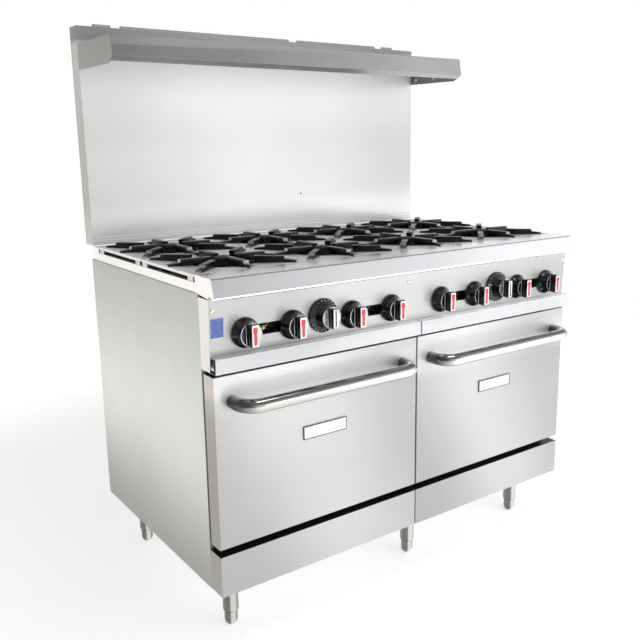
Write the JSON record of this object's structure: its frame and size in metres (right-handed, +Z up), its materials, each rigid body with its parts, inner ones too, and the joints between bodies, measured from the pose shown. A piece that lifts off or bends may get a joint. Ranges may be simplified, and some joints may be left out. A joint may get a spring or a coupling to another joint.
{
  "type": "commercial gas range",
  "caption": "Freestanding stainless restaurant gas range with grates over open burners, drop-down oven doors, pull-out crumb trays, a riser with a high shelf, and screw-adjusted legs.",
  "frame": {"origin": "centre of the footprint (bounding box in X and Y) at floor level, under the feet", "axes": "+X to the right seen from the front, +Y to the rear (the doors and knobs face -Y), +Z up"},
  "size_m": [1.219, 0.8589, 1.548],
  "materials": {
    "front_steel": "brushed stainless sheet, fine grain",
    "side_steel": "dull stainless side sheet",
    "inner_steel": "plain mill-finish sheet",
    "polished_steel": "brighter stainless",
    "oven_enamel": "dark porcelain enamel",
    "cast_iron": "black cast iron, sand-cast grain",
    "knob_black": "glossy black phenolic with a bright grip",
    "pipe_brass": "brass valves on a pipe",
    "rack_chrome": "chromed wire",
    "insulation": "aluminised inner door sheet"
  },
  "bodies": {
    "frame": {"back_panel": "inner_steel", "base_pan": "inner_steel", "burner_box": "side_steel", "burner_casting_1": "cast_iron", "burner_casting_2": "cast_iron", "burner_casting_3": "cast_iron", "burner_casting_4": "cast_iron", "control_panel": "front_steel", "front_rail": "polished_steel", "gas_manifold": "pipe_brass", "high_shelf": "front_steel", "left_kick_panel": "front_steel", "left_oven_liner": "oven_enamel", "left_side_panel": "side_steel", "leg_front_left": "polished_steel", "leg_front_middle": "polished_steel", "leg_front_right": "polished_steel", "leg_rear_left": "polished_steel", "leg_rear_middle": "polished_steel", "leg_rear_right": "polished_steel", "right_kick_panel": "front_steel", "right_oven_liner": "oven_enamel", "right_side_panel": "side_steel", "riser_back": "side_steel", "riser_panel": "front_steel"},
    "left_door": {"left_door_panel": "front_steel", "left_door_liner": "insulation", "left_door_handle": "front_steel"},
    "right_door": {"right_door_panel": "front_steel", "right_door_liner": "insulation", "right_door_handle": "front_steel"},
    "left_tray": {"left_crumb_tray": "polished_steel"},
    "right_tray": {"right_crumb_tray": "polished_steel"},
    "left_rack": {"left_oven_rack": "rack_chrome"},
    "right_rack": {"right_oven_rack": "rack_chrome"},
    "left_dial": {"left_oven_dial": "knob_black"},
    "right_dial": {"right_oven_dial": "knob_black"},
    "knob_1": {"burner_knob_1": "knob_black"},
    "knob_2": {"burner_knob_2": "knob_black"},
    "knob_3": {"burner_knob_3": "knob_black"},
    "knob_4": {"burner_knob_4": "knob_black"},
    "knob_5": {"burner_knob_5": "knob_black"},
    "knob_6": {"burner_knob_6": "knob_black"},
    "knob_7": {"burner_knob_7": "knob_black"},
    "knob_8": {"burner_knob_8": "knob_black"},
    "grate_front_1_body": {"grate_front_1": "cast_iron"},
    "grate_front_2_body": {"grate_front_2": "cast_iron"},
    "grate_front_3_body": {"grate_front_3": "cast_iron"},
    "grate_front_4_body": {"grate_front_4": "cast_iron"},
    "grate_rear_1_body": {"grate_rear_1": "cast_iron"},
    "grate_rear_2_body": {"grate_rear_2": "cast_iron"},
    "grate_rear_3_body": {"grate_rear_3": "cast_iron"},
    "grate_rear_4_body": {"grate_rear_4": "cast_iron"},
    "foot_front_left_body": {"foot_front_left": "polished_steel"},
    "foot_front_middle_body": {"foot_front_middle": "polished_steel"},
    "foot_front_right_body": {"foot_front_right": "polished_steel"},
    "foot_rear_left_body": {"foot_rear_left": "polished_steel"},
    "foot_rear_middle_body": {"foot_rear_middle": "polished_steel"},
    "foot_rear_right_body": {"foot_rear_right": "polished_steel"}
  },
  "joints": [
    {"name": "left_door_hinge", "type": "hinge", "parent": "frame", "child": "left_door", "pos_m": [-0.30575, -0.345, 0.2715], "axis": [1, 0, 0], "range_deg": [0, 88]},
    {"name": "right_door_hinge", "type": "hinge", "parent": "frame", "child": "right_door", "pos_m": [0.30575, -0.345, 0.2715], "axis": [1, 0, 0], "range_deg": [0, 88]},
    {"name": "left_tray_slide", "type": "slide", "parent": "frame", "child": "left_tray", "axis": [0, -1, 0], "range_m": [0, 0.4]},
    {"name": "right_tray_slide", "type": "slide", "parent": "frame", "child": "right_tray", "axis": [0, -1, 0], "range_m": [0, 0.4]},
    {"name": "left_rack_slide", "type": "slide", "parent": "frame", "child": "left_rack", "axis": [0, -1, 0], "range_m": [0, 0.045]},
    {"name": "right_rack_slide", "type": "slide", "parent": "frame", "child": "right_rack", "axis": [0, -1, 0], "range_m": [0, 0.045]},
    {"name": "left_dial_turn", "type": "hinge", "parent": "frame", "child": "left_dial", "pos_m": [-0.30475, -0.351, 0.806], "axis": [0, -1, 0], "range_deg": [0, 270]},
    {"name": "right_dial_turn", "type": "hinge", "parent": "frame", "child": "right_dial", "pos_m": [0.30475, -0.351, 0.806], "axis": [0, -1, 0], "range_deg": [0, 270]},
    {"name": "knob_1_turn", "type": "hinge", "parent": "frame", "child": "knob_1", "pos_m": [-0.52113, -0.351, 0.796], "axis": [0, -1, 0], "range_deg": [0, 90]},
    {"name": "knob_2_turn", "type": "hinge", "parent": "frame", "child": "knob_2", "pos_m": [-0.39313, -0.351, 0.796], "axis": [0, -1, 0], "range_deg": [0, 90]},
    {"name": "knob_3_turn", "type": "hinge", "parent": "frame", "child": "knob_3", "pos_m": [-0.21638, -0.351, 0.796], "axis": [0, -1, 0], "range_deg": [0, 90]},
    {"name": "knob_4_turn", "type": "hinge", "parent": "frame", "child": "knob_4", "pos_m": [-0.08838, -0.351, 0.796], "axis": [0, -1, 0], "range_deg": [0, 90]},
    {"name": "knob_5_turn", "type": "hinge", "parent": "frame", "child": "knob_5", "pos_m": [0.08838, -0.351, 0.796], "axis": [0, -1, 0], "range_deg": [0, 90]},
    {"name": "knob_6_turn", "type": "hinge", "parent": "frame", "child": "knob_6", "pos_m": [0.21638, -0.351, 0.796], "axis": [0, -1, 0], "range_deg": [0, 90]},
    {"name": "knob_7_turn", "type": "hinge", "parent": "frame", "child": "knob_7", "pos_m": [0.39313, -0.351, 0.796], "axis": [0, -1, 0], "range_deg": [0, 90]},
    {"name": "knob_8_turn", "type": "hinge", "parent": "frame", "child": "knob_8", "pos_m": [0.52113, -0.351, 0.796], "axis": [0, -1, 0], "range_deg": [0, 90]},
    {"name": "grate_front_1_lift", "type": "slide", "parent": "frame", "child": "grate_front_1_body", "axis": [0, 0, 1], "range_m": [0, 0.08]},
    {"name": "grate_front_2_lift", "type": "slide", "parent": "frame", "child": "grate_front_2_body", "axis": [0, 0, 1], "range_m": [0, 0.08]},
    {"name": "grate_front_3_lift", "type": "slide", "parent": "frame", "child": "grate_front_3_body", "axis": [0, 0, 1], "range_m": [0, 0.08]},
    {"name": "grate_front_4_lift", "type": "slide", "parent": "frame", "child": "grate_front_4_body", "axis": [0, 0, 1], "range_m": [0, 0.08]},
    {"name": "grate_rear_1_lift", "type": "slide", "parent": "frame", "child": "grate_rear_1_body", "axis": [0, 0, 1], "range_m": [0, 0.08]},
    {"name": "grate_rear_2_lift", "type": "slide", "parent": "frame", "child": "grate_rear_2_body", "axis": [0, 0, 1], "range_m": [0, 0.08]},
    {"name": "grate_rear_3_lift", "type": "slide", "parent": "frame", "child": "grate_rear_3_body", "axis": [0, 0, 1], "range_m": [0, 0.08]},
    {"name": "grate_rear_4_lift", "type": "slide", "parent": "frame", "child": "grate_rear_4_body", "axis": [0, 0, 1], "range_m": [0, 0.08]},
    {"name": "foot_front_left_screw", "type": "slide", "parent": "frame", "child": "foot_front_left_body", "axis": [0, 0, -1], "range_m": [0, 0.03]},
    {"name": "foot_front_middle_screw", "type": "slide", "parent": "frame", "child": "foot_front_middle_body", "axis": [0, 0, -1], "range_m": [0, 0.03]},
    {"name": "foot_front_right_screw", "type": "slide", "parent": "frame", "child": "foot_front_right_body", "axis": [0, 0, -1], "range_m": [0, 0.03]},
    {"name": "foot_rear_left_screw", "type": "slide", "parent": "frame", "child": "foot_rear_left_body", "axis": [0, 0, -1], "range_m": [0, 0.03]},
    {"name": "foot_rear_middle_screw", "type": "slide", "parent": "frame", "child": "foot_rear_middle_body", "axis": [0, 0, -1], "range_m": [0, 0.03]},
    {"name": "foot_rear_right_screw", "type": "slide", "parent": "frame", "child": "foot_rear_right_body", "axis": [0, 0, -1], "range_m": [0, 0.03]}
  ]
}
